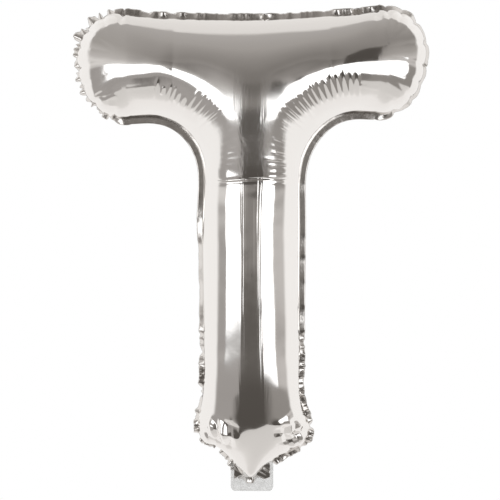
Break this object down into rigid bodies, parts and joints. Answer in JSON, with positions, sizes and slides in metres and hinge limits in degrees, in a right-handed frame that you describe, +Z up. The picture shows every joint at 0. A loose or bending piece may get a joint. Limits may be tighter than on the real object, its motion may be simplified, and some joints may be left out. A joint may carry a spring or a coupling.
{
  "type": "inflated letter T foil balloon",
  "caption": "Silver foil balloon shaped as a capital letter T, with a flat heat-sealed edge and a clear film valve tail at its foot.",
  "frame": {"origin": "the middle of the flat neck at the letter's foot, on the seal's plane and the letter's centre line, where a ribbon is tied", "axes": "+Z up the letter's stem, -Y the side that the letter is read from, +X to the reader's right"},
  "size_m": [0.2754, 0.0912, 0.3715],
  "materials": {
    "silver_foil": "mirror-bright metallised film with fine creases",
    "sealed_foil_edge": "flat, slightly crinkled metallised film",
    "clear_valve_film": "milky, soft translucent film"
  },
  "bodies": {
    "envelope": {"front_foil_sheet": "silver_foil", "back_foil_sheet": "silver_foil", "edge_seal": "sealed_foil_edge", "neck_front_foil": "silver_foil", "neck_back_foil": "silver_foil", "valve_neck_film": "clear_valve_film"},
    "tail": {"valve_front_film": "clear_valve_film", "valve_back_film": "clear_valve_film"}
  },
  "joints": [
    {"name": "tail_fold", "type": "hinge", "parent": "envelope", "child": "tail", "pos_m": [0, 0, -0.00645], "axis": [1, 0, 0], "range_deg": [-90, 90]}
  ]
}
